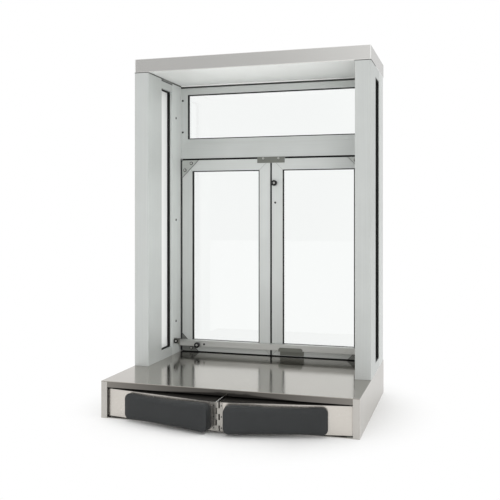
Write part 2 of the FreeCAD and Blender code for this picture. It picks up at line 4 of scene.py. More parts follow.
import bpy
import numpy as np
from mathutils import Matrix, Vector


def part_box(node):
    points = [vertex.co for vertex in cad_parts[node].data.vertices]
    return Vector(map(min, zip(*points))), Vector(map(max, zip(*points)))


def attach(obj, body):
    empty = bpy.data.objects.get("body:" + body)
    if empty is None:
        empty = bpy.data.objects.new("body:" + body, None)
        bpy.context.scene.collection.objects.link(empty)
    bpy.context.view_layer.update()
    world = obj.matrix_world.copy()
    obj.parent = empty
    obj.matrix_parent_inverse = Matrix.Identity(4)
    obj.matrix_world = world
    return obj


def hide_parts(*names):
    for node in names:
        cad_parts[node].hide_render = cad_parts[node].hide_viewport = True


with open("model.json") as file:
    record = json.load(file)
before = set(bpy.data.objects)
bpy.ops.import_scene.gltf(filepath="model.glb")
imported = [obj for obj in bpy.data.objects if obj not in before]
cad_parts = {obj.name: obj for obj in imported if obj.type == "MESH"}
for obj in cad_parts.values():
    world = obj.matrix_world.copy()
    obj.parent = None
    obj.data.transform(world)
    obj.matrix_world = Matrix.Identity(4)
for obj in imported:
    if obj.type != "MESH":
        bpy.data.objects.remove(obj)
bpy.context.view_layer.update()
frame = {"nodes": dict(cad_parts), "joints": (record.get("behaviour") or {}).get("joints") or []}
nodes = frame["nodes"]


# Camera: a stills camera a little above counter height, to the clerk's right of the window. It is
# held level, so upright lines stay upright, and its frame is shifted down to take in the counter.
camera_place = (0.7105, -2.41015, 0.6423)
camera_turn = radians(16.562)
camera_lens = 53.71
frame_shift = -0.0733

scene = bpy.context.scene
camera = bpy.data.objects.new("camera", bpy.data.cameras.new("camera"))
scene.collection.objects.link(camera)
camera.location = camera_place
camera.rotation_euler = (pi / 2, 0, camera_turn)
camera.data.lens = camera_lens
camera.data.shift_y = frame_shift
scene.camera = camera


# Studio: a pale seamless floor, an even white room, and five soft lamps. A strip lamp stands before the
# bay's right post, out of sight, and fills the bay's left side and the soffit. A weak one stands low
# beside the left pane.
# The floor near the window is matt paint and keeps the shadow; further out it runs into the room.
# What metal mirrors of the room is dimmer to the left of the camera and behind the window, and what
# shows through the panes is a little dimmer above eye level. Each dim part has its middle, the
# cosines where it starts and is full, and how much light is left in it.
floor_reach = 14
floor_white_from = 0.34
floor_white_to = 0.64
room_light = 0.89
dim_parts = [
    ((-0.45, -0.89, 0.05), 0.925, 0.965, 0.58),
    ((0.14, 0.98, 0.1), 0.950, 0.985, 0.74),
]
upper_glow = 0.93
lamps = [
    ("side_softbox", (3.4, -1.5, 2.0), 2.6, 6.5, (0, 0, 0.55)),
    ("front_softbox", (1.3, -3.1, 0.35), 1.6, 26, (0, 0, 0.55)),
    ("back_softbox", (0.4, 2.9, 2.4), 2.6, 16, (0, 0, 0.55)),
    ("bay_strip", (0.30, -0.28, 0.56), 0.4, 2.7, (-0.355, -0.38, 0.66)),
    ("low_fill", (-0.85, 0.04, 0.32), 0.4, 0.55, (-0.378, 0.04, 0.34)),
]


def linear(colour):
    """Turn an sRGB hex colour, such as "#bcbebd", into linear red, green, blue and alpha."""
    parts = np.array([int(colour[start:start + 2], 16) for start in (1, 3, 5)]) / 255
    low = parts / 12.92
    high = ((parts + 0.055) / 1.055) ** 2.4
    return (*np.where(parts <= 0.04045, low, high), 1.0)


def add(tree, kind, sockets=(), **settings):
    """Add a node to a tree: settings are its own choices, sockets its inputs by name or number.

    A socket is given a plain value, or another node's output to link from.
    """
    node = tree.nodes.new(kind)
    for name, value in settings.items():
        setattr(node, name, value)
    for key, value in dict(sockets).items():
        if isinstance(value, bpy.types.NodeSocket):
            tree.links.new(value, node.inputs[key])
        else:
            node.inputs[key].default_value = value
    return node


def new_finish(name):
    """Make an empty node material and return it with its node tree."""
    finish = bpy.data.materials.new(name)
    finish.use_nodes = True
    finish.node_tree.nodes.clear()
    return finish, finish.node_tree


def seen_directly(tree):
    """Three outputs: one where the camera sees the thing itself, in gloss or through glass, and one each
    for gloss and for glass."""
    rays = add(tree, "ShaderNodeLightPath")
    seen = add(tree, "ShaderNodeMath", {0: rays.outputs["Is Camera Ray"], 1: rays.outputs["Is Glossy Ray"]},
               operation="MAXIMUM")
    either = add(tree, "ShaderNodeMath", {0: seen.outputs[0], 1: rays.outputs["Is Transmission Ray"]},
                 operation="MAXIMUM")
    return either.outputs[0], rays.outputs["Is Glossy Ray"], rays.outputs["Is Transmission Ray"]


scene.view_settings.view_transform = "Standard"
room = bpy.data.worlds.new("white_room")
scene.world = room
room.use_nodes = True
tree = room.node_tree
tree.nodes.clear()
shown, mirrored, through = seen_directly(tree)
way = add(tree, "ShaderNodeTexCoord")
rise = add(tree, "ShaderNodeSeparateXYZ", {0: way.outputs["Generated"]})
upper = add(tree, "ShaderNodeMapRange", {"Value": rise.outputs["Z"], "From Min": 0.0, "From Max": 0.06,
                                         "To Min": 1.0, "To Max": upper_glow},
            interpolation_type="SMOOTHSTEP")
beyond = add(tree, "ShaderNodeMix", {0: through, 2: 1.0, 3: upper.outputs[0]})
dimmed = 1.0
for middle, outer, inner, share in dim_parts:
    toward = add(tree, "ShaderNodeVectorMath", {0: way.outputs["Generated"], 1: middle},
                 operation="DOT_PRODUCT")
    part = add(tree, "ShaderNodeMapRange", {"Value": toward.outputs["Value"], "From Min": outer,
                                            "From Max": inner, "To Min": 1.0, "To Max": share},
               interpolation_type="SMOOTHSTEP")
    dimmed = add(tree, "ShaderNodeMath", {0: part.outputs[0], 1: dimmed}, operation="MULTIPLY").outputs[0]
level = add(tree, "ShaderNodeMix", {0: mirrored, 2: beyond.outputs[0], 3: dimmed})
even = add(tree, "ShaderNodeBackground", {"Color": (1, 1, 1, 1), "Strength": room_light})
white = add(tree, "ShaderNodeBackground", {"Color": (1, 1, 1, 1), "Strength": level.outputs[0]})
either = add(tree, "ShaderNodeMixShader", {0: shown, 1: even.outputs[0], 2: white.outputs[0]})
add(tree, "ShaderNodeOutputWorld", {"Surface": either.outputs[0]})

for name, place, width, power, target in lamps:
    lamp = bpy.data.lights.new(name, "AREA")
    lamp.shape = "SQUARE"
    lamp.size = width
    lamp.energy = power
    holder = bpy.data.objects.new(name, lamp)
    scene.collection.objects.link(holder)
    holder.visible_glossy = False
    holder.visible_camera = False
    holder.visible_transmission = False
    holder.location = place
    aim = np.array(target) - np.array(place)
    holder.rotation_euler = (pi / 2 + np.arctan2(aim[2], np.hypot(aim[0], aim[1])), 0,
                             np.arctan2(-aim[0], aim[1]))

finish, tree = new_finish("floor_paint")
shown = seen_directly(tree)[0]
spot = add(tree, "ShaderNodeTexCoord")
far = add(tree, "ShaderNodeVectorMath", {0: spot.outputs["Object"]}, operation="LENGTH")
fade = add(tree, "ShaderNodeMapRange", {"Value": far.outputs["Value"], "From Min": floor_white_from,
                                        "From Max": floor_white_to}, interpolation_type="SMOOTHSTEP")
share = add(tree, "ShaderNodeMath", {0: fade.outputs["Result"], 1: shown}, operation="MULTIPLY")
paint = add(tree, "ShaderNodeBsdfPrincipled", {"Base Color": linear("#f6f6f5"), "Roughness": 0.9,
                                               "Specular IOR Level": 0.2})
glow = add(tree, "ShaderNodeEmission", {"Color": (1, 1, 1, 1), "Strength": 1.0})
either = add(tree, "ShaderNodeMixShader", {0: share.outputs[0], 1: paint.outputs[0], 2: glow.outputs[0]})
add(tree, "ShaderNodeOutputMaterial", {"Surface": either.outputs[0]})

sheet = bpy.data.meshes.new("floor")
sheet.from_pydata([(-floor_reach, -floor_reach, 0), (floor_reach, -floor_reach, 0),
                   (floor_reach, floor_reach, 0), (-floor_reach, floor_reach, 0)], [], [(0, 1, 2, 3)])
sheet.materials.append(finish)
floor = bpy.data.objects.new("floor", sheet)
scene.collection.objects.link(floor)


# Posts, jambs and rails: 6063 aluminium storefront tube, extruded, etched and clear anodised. The
# eye sees an even satin grey, with faint draw lines along each length and soft light edges. Most of
# the light scatters in the oxide skin, and the metal under it mirrors the rest, well blurred.
tube_skin = 0.3
rail_skin = 0.5


def grained_metal(name, colour, along, rough, line_width=0.0022, line_length=0.4, contrast=0.04,
                  cloud=0.03, pull=0.0, bare=1.0, mitred=None, painted_edge_shade=None, painted_light_band=None):
    """Metal with grain lines along an axis: colour, roughness and height all follow the lines.

    along is "x", "y" or "z"; line_width and line_length are the lines' size in metres. contrast
    is how far they lighten and darken the colour, cloud does the same for broad soft patches,
    and pull stretches reflections across the grain. bare is 1 on bright metal, and less under
    an etched oxide skin, which scatters part of the light. mitred gives a frame's middle and half
    size: its uprights keep their grain, its rails are grained along x, and a hairline shows where
    they meet, which is where the distances to the frame's two outer edges are equal. The argument
    after it gives the same two and the leg of the triangular plates in the frame's corners: along
    their long edge, where the sum of those distances nears the leg, a painted shadow line darkens
    the colour. The last argument paints light by height. It gives a height where the colour is kept,
    one past it where the painting is full, and the share of the colour there: below 1 for painted
    shade, above 1 for a painted highlight. It also gives how much more at the ends.
    """
    finish, tree = new_finish(name)
    spot = add(tree, "ShaderNodeTexCoord")

    def grain(axis):
        pitch = [1 / line_width] * 3
        pitch["xyz".index(axis)] = 1 / line_length
        lined = add(tree, "ShaderNodeMapping", {"Vector": spot.outputs["Object"], "Scale": pitch})
        return add(tree, "ShaderNodeTexNoise", {"Vector": lined.outputs[0], "Scale": 1.0, "Detail": 3.0,
                                                "Roughness": 0.65}).outputs[0]

    lines = grain(along)
    joint_and_painted_light = 1.0
    if mitred or painted_edge_shade:
        middle, half = mitred or painted_edge_shade[:2]
        from_middle = add(tree, "ShaderNodeVectorMath", {0: spot.outputs["Object"], 1: middle},
                          operation="SUBTRACT")
        distance = add(tree, "ShaderNodeVectorMath", {0: from_middle.outputs[0]}, operation="ABSOLUTE")
        inward = add(tree, "ShaderNodeVectorMath", {0: distance.outputs[0], 1: half}, operation="SUBTRACT")
        edges = add(tree, "ShaderNodeSeparateXYZ", {0: inward.outputs[0]})
    # Painted shade: a dark line along the corner plates' long edge stands for the shadow at that edge.
    if painted_edge_shade:
        both = add(tree, "ShaderNodeMath", {0: edges.outputs["X"], 1: edges.outputs["Z"]}, operation="ADD")
        joint_and_painted_light = add(tree, "ShaderNodeMapRange", {"Value": both.outputs[0], "From Min": 0.0012 - painted_edge_shade[2],
                                                 "From Max": 0.0022 - painted_edge_shade[2], "To Min": 0.22,
                                                 "To Max": 1.0}).outputs[0]
    if mitred:
        side = add(tree, "ShaderNodeMath", {0: edges.outputs["X"], 1: edges.outputs["Z"]},
                   operation="SUBTRACT")
        upright = add(tree, "ShaderNodeMath", {0: side.outputs[0], 1: 0.0}, operation="GREATER_THAN")
        lines = add(tree, "ShaderNodeMix", {0: upright.outputs[0], 2: grain("x"), 3: lines}).outputs[0]
        gap = add(tree, "ShaderNodeMath", {0: side.outputs[0]}, operation="ABSOLUTE")
        joint_and_painted_light = add(tree, "ShaderNodeMapRange", {"Value": gap.outputs[0], "From Min": 0.0002,
                                                 "From Max": 0.0009, "To Min": 0.35,
                                                 "To Max": 1.0}).outputs[0]
    # Painted light by height: past a given height the colour is scaled by a share, below 1 for painted shade
    # and above 1 for a painted highlight, and by more towards the ends.
    if painted_light_band:
        place = add(tree, "ShaderNodeSeparateXYZ", {0: spot.outputs["Object"]})
        aside = add(tree, "ShaderNodeMath", {0: place.outputs["X"], 1: 2.0}, operation="POWER")
        left = add(tree, "ShaderNodeMath", {0: aside.outputs[0], 1: painted_light_band[3] / 0.16, 2: painted_light_band[2]},
                   operation="MULTIPLY_ADD")
        shade = add(tree, "ShaderNodeMapRange", {"Value": place.outputs["Z"], "From Min": painted_light_band[0],
                                                 "From Max": painted_light_band[1], "To Min": 1.0,
                                                 "To Max": left.outputs[0]})
        joint_and_painted_light = add(tree, "ShaderNodeMath", {0: shade.outputs[0], 1: joint_and_painted_light}, operation="MULTIPLY").outputs[0]
    broad = add(tree, "ShaderNodeTexNoise", {"Vector": spot.outputs["Object"], "Scale": 7.0, "Detail": 2.0})
    wave = add(tree, "ShaderNodeMapRange", {"Value": lines, "From Min": 0.3, "From Max": 0.7,
                                            "To Min": 1 - contrast, "To Max": 1 + contrast})
    patch = add(tree, "ShaderNodeMapRange", {"Value": broad.outputs[0], "From Min": 0.3, "From Max": 0.7,
                                             "To Min": 1 - cloud, "To Max": 1 + cloud})
    both = add(tree, "ShaderNodeMath", {0: wave.outputs[0], 1: patch.outputs[0]}, operation="MULTIPLY")
    dark = add(tree, "ShaderNodeMath", {0: both.outputs[0], 1: joint_and_painted_light}, operation="MULTIPLY")
    toned = add(tree, "ShaderNodeVectorMath", {0: linear(colour)[:3], "Scale": dark.outputs[0]},
                operation="SCALE")
    worn = add(tree, "ShaderNodeMapRange", {"Value": lines, "From Min": 0.3, "From Max": 0.7,
                                            "To Min": rough * 0.92, "To Max": rough * 1.08})
    relief = add(tree, "ShaderNodeBump", {"Height": lines, "Strength": 0.25, "Distance": 0.00003})
    metal = add(tree, "ShaderNodeBsdfPrincipled",
                {"Base Color": toned.outputs[0], "Metallic": bare, "Roughness": worn.outputs[0],
                 "Normal": relief.outputs[0], "Anisotropic": pull})
    if pull:
        axis = [float(letter == along) for letter in "xyz"]
        way = add(tree, "ShaderNodeVectorMath", {0: axis, 1: (0, 0, 0)})
        tree.links.new(way.outputs[0], metal.inputs["Tangent"])
    add(tree, "ShaderNodeOutputMaterial", {"Surface": metal.outputs[0]})
    return finish


def dress(finish, *names, edge=0.0):
    """Give CAD nodes a finish and, where edge is set, a small rounded edge of that many metres."""
    for name in names:
        piece = nodes[name]
        piece.data.materials.clear()
        piece.data.materials.append(finish)
        if edge:
            weld = piece.modifiers.new("join_faces", "WELD")
            weld.merge_threshold = 0.00001
            bevel = piece.modifiers.new("soft_edge", "BEVEL")
            bevel.width = edge
            bevel.segments = 2
            bevel.limit_method = "ANGLE"
            bevel.angle_limit = radians(40)
            bevel.use_clamp_overlap = True


upright_tube = grained_metal("clear_anodised_tube_upright", "#c4c7c5", "z", 0.45, bare=tube_skin)
rail_tube = grained_metal("clear_anodised_tube_level", "#c6c9c7", "x", 0.42, bare=rail_skin)
side_tube = grained_metal("clear_anodised_tube_side", "#c4c7c5", "y", 0.45, bare=tube_skin)
# The jambs' copy of the tube is painted lighter than the posts', as painted light on the back corners of the
# bay, which fall in shade.
jamb_tube_painted_lighter = grained_metal("clear_anodised_tube_jamb_painted_lighter", "#d4d7d5", "z", 0.45, bare=tube_skin)
dress(upright_tube, "left_post", "right_post", edge=0.0006)
dress(jamb_tube_painted_lighter, "left_rear_jamb", "right_rear_jamb", edge=0.0006)
dress(rail_tube, "transom_bar", "head_rail", "transom_bottom_bead", edge=0.0005)
dress(upright_tube, "transom_side_beads", edge=0.0005)
dress(side_tube, "side_sill_rails", "side_head_rails", edge=0.0005)


# Jamb and bead screws: small pan heads of plain steel, with a cross recess, driven from the clerk's
# side. Three hold each jamb to the frame, and two hold each side bead of the transom light.
jamb_face_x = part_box("right_rear_jamb")[0][0]
jamb_middle_y = 0.199
jamb_screw_heights = (0.238, 0.618, 1.000)
bead_face_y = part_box("transom_side_beads")[0][1]
bead_screw_x = 0.349
bead_screw_heights = (0.9516, 1.0722)
jamb_head = [(0.0006, 0.0019), (0.0016, 0.0018), (0.0026, 0.0017), (0.0034, 0.0014), (0.0041, 0.0010),
             (0.0045, 0.0005), (0.0046, 0.0)]
small_recess = 0.0009
small_head = [(0.0005, 0.0015), (0.0013, 0.00148), (0.0021, 0.0014), (0.0028, 0.0012), (0.0034, 0.0009),
              (0.0038, 0.0004), (0.0039, 0.0)]


def new_piece(name, points, faces, finish, body="window"):
    """Make a smooth mesh piece at the origin from points and faces, and hang it on its body."""
    mesh = bpy.data.meshes.new(name)
    mesh.from_pydata(points.tolist(), [], faces)
    mesh.materials.append(finish)
    mesh.polygons.foreach_set("use_smooth", np.full(len(mesh.polygons), True))
    mesh.update()
    piece = bpy.data.objects.new(name, mesh)
    scene.collection.objects.link(piece)
    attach(piece, body)
    return piece


def ring_faces(rings, around, closed=False):
    """Quads between each ring of points and the next, facing out where the rings run inwards to outwards.

    Points are numbered ring by ring. Where closed is set, the last ring joins the first.
    """
    ring, spoke = np.meshgrid(np.arange(rings if closed else rings - 1), np.arange(around), indexing="ij")
    here = ring * around
    there = (ring + 1) % rings * around
    after = (spoke + 1) % around
    return np.stack((here + spoke, there + spoke, there + after, here + after), axis=-1).reshape(-1, 4)


def turned_heads(name, places, facing, profile, finish, body="window", cross=0.0,
                 around=28):
    """Join like turned heads in one mesh: a profile carried round an axis at each of the places.

    profile is (radius, height) pairs from the middle out to the seat. cross is the depth of the
    recess: two bands cross in the middle, and each is deepest along its own line and fades to its
    sides and ends. Each head is turned 2.4 radians past the last, as driven screws are.
    """
    radius, height = np.array(profile).T
    turn = np.arange(around) / around * 2 * pi
    right = radius[:, None] * np.cos(turn)
    up = radius[:, None] * np.sin(turn)
    half_wide = 0.2 * radius[-1]
    reach = 0.66 * radius[-1]
    bands = [np.clip(1.5 - np.abs(one) / half_wide, 0, 1) * np.clip(3 - 3 * np.abs(other) / reach, 0, 1)
             for one, other in ((right, up), (up, right))]
    lift = height[:, None] - cross * np.maximum(*bands)

    ahead = np.array(facing, dtype=float)
    ahead /= np.linalg.norm(ahead)
    level = np.cross((0.0, 0.0, 1.0), ahead)
    upward = np.cross(ahead, level)
    places = np.array(places, dtype=float)
    spin = (2.4 * np.arange(len(places)))[:, None, None]
    flat_right = np.cos(spin) * right - np.sin(spin) * up
    flat_up = np.sin(spin) * right + np.cos(spin) * up
    points = (places[:, None, None, :] + flat_right[..., None] * level + flat_up[..., None] * upward
              + np.broadcast_to(lift[..., None], flat_right.shape + (1,)) * ahead)

    each = len(radius) * around
    quads = ring_faces(len(radius), around)
    middle = np.arange(around)
    seat = each - 1 - np.arange(around)
    starts = np.arange(len(places)) * each
    faces = (quads + starts[:, None, None]).reshape(-1, 4).tolist()
    faces += (middle + starts[:, None]).tolist() + (seat + starts[:, None]).tolist()
    return new_piece(name, points.reshape(-1, 3), faces, finish, body)


screw_steel = grained_metal("blackened_screw_steel", "#3f403e", "x", 0.5, line_width=0.0008,
                            line_length=0.01, bare=0.7)
black_screw = grained_metal("black_oxide_screw_steel", "#1b1b1a", "x", 0.55, line_width=0.0008,
                            line_length=0.01, bare=0.5)
for name, side in (("left", -1), ("right", 1)):
    turned_heads(name + "_jamb_screws", [(side * jamb_face_x, jamb_middle_y, z) for z in jamb_screw_heights],
                 (-side, 0, 0), jamb_head, black_screw, cross=small_recess)
turned_heads("transom_bead_screws", [(side * bead_screw_x, bead_face_y, z) for side in (-1, 1)
                                     for z in bead_screw_heights],
             (0, -1, 0), small_head, screw_steel, cross=small_recess)


# Counter box: 304 stainless sheet, folded and brushed along its length. The counter is rubbed
# smooth by use, so it mirrors the window above it, drawn out towards the clerk by the brushing.
# The counter's front lip is painted to a fifth of its colour in the middle, more towards the ends, as painted
# shade and painted reflection of the dark flanges beneath it.
counter_steel = grained_metal("brushed_stainless_counter", "#b0aba4", "x", 0.13, line_width=0.0009,
                              contrast=0.015, cloud=0.02, pull=0.4, painted_light_band=(0.1152, 0.1138, 0.2, 0.35))
panel_steel = grained_metal("brushed_stainless_panel", "#bfbcb7", "z", 0.32, line_width=0.0009,
                            contrast=0.015, cloud=0.02, pull=0.3, bare=0.7)
dress(counter_steel, "counter_top")
dress(panel_steel, "base_left_side", "base_right_side", "base_rear_panel", "base_floor_pan", edge=0.0004)


# Cap and soffit: a folded stainless cap over the whole bay, brushed along its front, and a sheet
# painted white under it. The cap's front corners are welded, and the welds' near-white colour is a
# painted highlight. The soffit's edge is turned down against the walls, over a dark sealant bead.
# The cap's lowest edge is painted a quarter brighter: a painted highlight along its bend.
cap_steel = grained_metal("brushed_stainless_cap", "#dcdbd8", "x", 0.22, line_width=0.0009,
                          contrast=0.012, cloud=0.015, pull=0.3, painted_light_band=(1.1308, 1.1302, 1.25, 0.0))
dress(cap_steel, "top_cap", edge=0.0006)

# The welds are coloured near white as a painted highlight along the cap's front corners.
painted_weld_highlight = grained_metal("corner_weld_painted_highlight", "#f4f4f2", "z", 0.3, line_width=0.0008, bare=0.6)

finish, tree = new_finish("white_baked_enamel")
spot = add(tree, "ShaderNodeTexCoord")
smudge = add(tree, "ShaderNodeTexNoise", {"Vector": spot.outputs["Object"], "Scale": 5.0, "Detail": 4.0})
tone = add(tree, "ShaderNodeMapRange", {"Value": smudge.outputs[0], "From Min": 0.35, "From Max": 0.7,
                                        "To Min": 0.94, "To Max": 1.0})
toned = add(tree, "ShaderNodeVectorMath", {0: linear("#f1f2f0")[:3], "Scale": tone.outputs[0]},
            operation="SCALE")
peel = add(tree, "ShaderNodeTexNoise", {"Vector": spot.outputs["Object"], "Scale": 420.0, "Detail": 1.0})
relief = add(tree, "ShaderNodeBump", {"Height": peel.outputs[0], "Strength": 0.2, "Distance": 0.0001})
enamel = add(tree, "ShaderNodeBsdfPrincipled", {"Base Color": toned.outputs[0], "Roughness": 0.35,
                                                "Normal": relief.outputs[0]})
add(tree, "ShaderNodeOutputMaterial", {"Surface": enamel.outputs[0]})
white_enamel = finish
dress(white_enamel, "soffit_panel")


def carried_along(name, corners, section, lift, finish, closed=False, body="window"):
    """Carry a closed section along straight runs, mitred where they meet.

    At each corner the section's first measure runs along the sum of the two runs' inward normals,
    divided by one plus their dot product, which is the mitre's own direction and stretch. Its second
    measure runs along lift. The inward normal of a run is lift crossed with its direction.
    """
    corners = np.array(corners, dtype=float)
    section = np.array(section)
    lift = np.array(lift, dtype=float)
    runs = np.roll(corners, -1, axis=0) - corners
    runs /= np.linalg.norm(runs, axis=1)[:, None]
    after = np.cross(lift, runs)
    before = np.roll(after, 1, axis=0)
    if not closed:
        before[0] = after[0]
        after[-1] = before[-1]
    mitre = (before + after) / (1 + np.sum(before * after, axis=1))[:, None]
    points = (corners[:, None, :] + section[None, :, :1] * mitre[:, None, :] + section[None, :, 1:] * lift)
    around = len(section)
    faces = ring_faces(len(corners), around, closed).tolist()
    if not closed:
        last = len(corners) * around - 1
        faces += [list(range(around)), list(range(last, last - around, -1))]
    piece = new_piece(name, points.reshape(-1, 3), faces, finish, body)
    piece.data.polygons.foreach_set("use_smooth", np.full(len(piece.data.polygons), False))
    return piece


def matt_rubber(name, colour, rough=0.6):
    """Rubber or moulded plastic: dark, matt, with a fine skin and dust that lightens it a little."""
    finish, tree = new_finish(name)
    spot = add(tree, "ShaderNodeTexCoord")
    grit = add(tree, "ShaderNodeTexNoise", {"Vector": spot.outputs["Object"], "Scale": 900.0, "Detail": 2.0})
    dust = add(tree, "ShaderNodeTexNoise", {"Vector": spot.outputs["Object"], "Scale": 30.0, "Detail": 4.0})
    tone = add(tree, "ShaderNodeMapRange", {"Value": dust.outputs[0], "From Min": 0.35, "From Max": 0.75,
                                            "To Min": 0.8, "To Max": 1.6})
    toned = add(tree, "ShaderNodeVectorMath", {0: linear(colour)[:3], "Scale": tone.outputs[0]},
                operation="SCALE")
    relief = add(tree, "ShaderNodeBump", {"Height": grit.outputs[0], "Strength": 0.3, "Distance": 0.0001})
    body = add(tree, "ShaderNodeBsdfPrincipled", {"Base Color": toned.outputs[0], "Roughness": rough,
                                                  "Normal": relief.outputs[0]})
    add(tree, "ShaderNodeOutputMaterial", {"Surface": body.outputs[0]})
    return finish


cap_left, cap_front, cap_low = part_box("top_cap")[0]
cap_right, cap_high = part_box("top_cap")[1][0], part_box("top_cap")[1][2]
weld_inset = 0.0014
weld_short = 0.0005
weld_half_wide = 0.0012
weld_proud = 0.0004
for name, weld_x in (("left", cap_left + weld_inset), ("right", cap_right - weld_inset)):
    carried_along(name + "_cap_corner_weld",
                  [(weld_x, cap_front, cap_low + weld_short), (weld_x, cap_front, cap_high - weld_short)],
                  [(weld_half_wide, 0.0), (weld_half_wide / 2, weld_proud), (-weld_half_wide / 2, weld_proud),
                   (-weld_half_wide, 0.0)], (0, -1, 0), painted_weld_highlight)

gasket_rubber = matt_rubber("black_gasket_rubber", "#060606", 0.8)
sealant = matt_rubber("dark_silicone_sealant", "#2b2c2a", 0.5)
pale_sealant = matt_rubber("grey_silicone_sealant", "#70726f", 0.5)
soffit_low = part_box("soffit_panel")[0][2]
post_front_y, post_back_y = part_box("left_post")[0][1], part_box("left_post")[1][1]
jamb_front_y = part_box("left_rear_jamb")[0][1]
post_side_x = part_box("right_post")[1][0]
head_face_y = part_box("head_rail")[0][1]
flange_drop = 0.003
flange_sheet = 0.0012
sealant_drop = 0.0065
bead_out = 0.0014
foot_drop = 0.0022
bead_from = 0.002


def bead(name, start, end, top, drop, finish=sealant):
    """A sealant bead along one straight run: a low rounded ridge that hangs drop below its top."""
    carried_along(name, [start, end],
                  [(0.0, top), (bead_out * 0.7, top), (bead_out, top - 0.3 * drop),
                   (bead_out * 0.8, top - 0.8 * drop), (0.0, top - drop)], (0, 0, 1), finish)


back_edge = [(jamb_face_x, head_face_y, soffit_low), (-jamb_face_x, head_face_y, soffit_low)]
carried_along("soffit_flange", back_edge,
              [(0.0, 0.0), (flange_sheet, 0.0), (flange_sheet, -flange_drop), (0.0, -flange_drop)],
              (0, 0, 1), white_enamel)
bead("soffit_sealant_back", *back_edge, -flange_drop, sealant_drop)
for name, side in (("left", -1), ("right", 1)):
    for part, near, far, drop in (("post", post_front_y + bead_from, post_back_y, 0.0030),
                                  ("side", post_back_y, jamb_front_y, 0.0085),
                                  ("jamb", jamb_front_y, head_face_y, 0.0045)):
        run = [(side * jamb_face_x, near, soffit_low), (side * jamb_face_x, far, soffit_low)]
        bead(name + "_soffit_sealant_" + part, *run[::side], 0.0, drop,
             pale_sealant if part == "side" else sealant)
        if part == "side":
            bead(name + "_soffit_sealant_foot", *run[::side], -drop, foot_drop)
    # Painted shadow line: a thin dark bead wraps each post's front and side under the cap, where the cap
    # stands proud and shades the post.
    wrap = [(side * jamb_face_x, post_front_y, soffit_low), (side * post_side_x, post_front_y, soffit_low),
            (side * post_side_x, post_back_y, soffit_low)]
    carried_along(name + "_cap_painted_shadow_line", wrap[::side],
                  [(0.0, 0.0), (-0.0009, 0.0), (-0.0007, -0.0014), (0.0, -0.0018)][::-1],
                  (0, 0, 1), sealant)


# Panes: 6 mm clear float glass, bedded in black rubber. The glass is clear with a breath of green,
# and lets the lamps through. A thin dry film on the side panes shows white where the eye runs along
# them. Outside each side pane, black rubber strips fill the tubes' open glazing pockets as painted
# shade of those deep recesses, and a thin one seals each jamb beside the leaf.
film_grazing = 0.95
strip_thickness = 0.003
strip_inset = 0.002
strip_width = 0.016
seal_y = 0.2484
seal_low, seal_high = 0.1175, 0.8490
seal_half_wide = 0.0021
seal_thickness = 0.0008


def clear_glass(name, colour, film=0.0):
    """Float glass: clear to lamps, bending and mirroring to the eye, with faint wiping marks.

    film is how much of the glass a dry haze hides where it is seen at its flattest angle.
    """
    finish, tree = new_finish(name)
    spot = add(tree, "ShaderNodeTexCoord")
    wiped = add(tree, "ShaderNodeMapping", {"Vector": spot.outputs["Object"], "Rotation": (0, radians(35), 0),
                                            "Scale": (3, 3, 24)})
    smear = add(tree, "ShaderNodeTexNoise", {"Vector": wiped.outputs[0], "Scale": 1.0, "Detail": 3.0})
    marks = add(tree, "ShaderNodeMapRange", {"Value": smear.outputs[0], "From Min": 0.45, "From Max": 0.8,
                                             "To Min": 0.0, "To Max": 0.03})
    glass = add(tree, "ShaderNodeBsdfPrincipled",
                {"Base Color": linear(colour), "Roughness": marks.outputs[0], "IOR": 1.5,
                 "Transmission Weight": 1.0})
    surface = glass.outputs[0]
    if film:
        graze = add(tree, "ShaderNodeLayerWeight", {"Blend": 0.5})
        hidden = add(tree, "ShaderNodeMapRange", {"Value": graze.outputs["Facing"], "From Min": 0.40,
                                                  "From Max": 0.57, "To Min": 0.0, "To Max": film})
        haze = add(tree, "ShaderNodeBsdfDiffuse", {"Color": linear("#fdfdfc")})
        through = add(tree, "ShaderNodeBsdfTranslucent", {"Color": linear("#fdfdfc")})
        both = add(tree, "ShaderNodeMixShader", {0: 0.7, 1: haze.outputs[0], 2: through.outputs[0]})
        surface = add(tree, "ShaderNodeMixShader", {0: hidden.outputs[0], 1: surface,
                                                    2: both.outputs[0]}).outputs[0]
    through = add(tree, "ShaderNodeBsdfTransparent", {"Color": linear(colour)})
    rays = add(tree, "ShaderNodeLightPath")
    lit = add(tree, "ShaderNodeMath", {0: rays.outputs["Is Shadow Ray"], 1: rays.outputs["Is Diffuse Ray"]},
              operation="MAXIMUM")
    either = add(tree, "ShaderNodeMixShader", {0: lit.outputs[0], 1: surface, 2: through.outputs[0]})
    add(tree, "ShaderNodeOutputMaterial", {"Surface": either.outputs[0]})
    return finish


pane_glass = clear_glass("clear_float_glass", "#f8faf9")
side_glass = clear_glass("clear_float_glass_dry_film", "#f8faf9", film_grazing)
dress(pane_glass, "transom_glass", "left_leaf_glass", "right_leaf_glass")
dress(side_glass, "left_side_glass", "right_side_glass")
dress(gasket_rubber, "left_side_gasket", "right_side_gasket", "transom_gasket", "left_leaf_gasket",
      "right_leaf_gasket", "leaf_seals")

